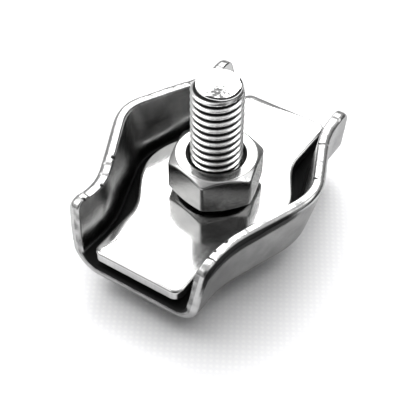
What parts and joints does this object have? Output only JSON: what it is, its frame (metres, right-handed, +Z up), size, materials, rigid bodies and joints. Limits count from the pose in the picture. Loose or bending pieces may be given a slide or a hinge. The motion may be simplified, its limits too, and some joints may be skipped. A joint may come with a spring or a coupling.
{
  "type": "wire rope clip",
  "caption": "Flat wire rope clip: a waisted stamped channel with a pressure plate, clamped by a square-neck bolt and a hexagon nut over two ropes lying side by side.",
  "frame": {"origin": "on the bolt's axis, at the lowest point of the bolt's head, on which the clip stands", "axes": "+Z up along the bolt towards its threaded end, Y along the ropes, X across them from flange to flange"},
  "size_m": [0.0216, 0.0264, 0.0179],
  "materials": {
    "body_steel": "tumble-polished stainless sheet, with sheared and slightly burred edges",
    "plate_steel": "bright polished stainless sheet",
    "bolt_steel": "rolled thread, bright, with a rough end face",
    "nut_steel": "turned and polished faces"
  },
  "bodies": {
    "clip_body": {"channel_body": "body_steel", "bolt": "bolt_steel"},
    "plate": {"pressure_plate": "plate_steel"},
    "nut": {"nut": "nut_steel"}
  },
  "joints": [
    {"name": "plate_lift", "type": "slide", "parent": "clip_body", "child": "plate", "axis": [0, 0, 1], "range_m": [0, 0.008]},
    {"name": "nut_turn", "type": "hinge", "parent": "plate", "child": "nut", "pos_m": [0, 0, 0.0078], "axis": [0, 0, 1], "range_deg": [0, 3600]}
  ],
  "couplings": [
    {"joint": "nut_turn", "follows": "plate_lift", "rad_per_m": 7854}
  ]
}
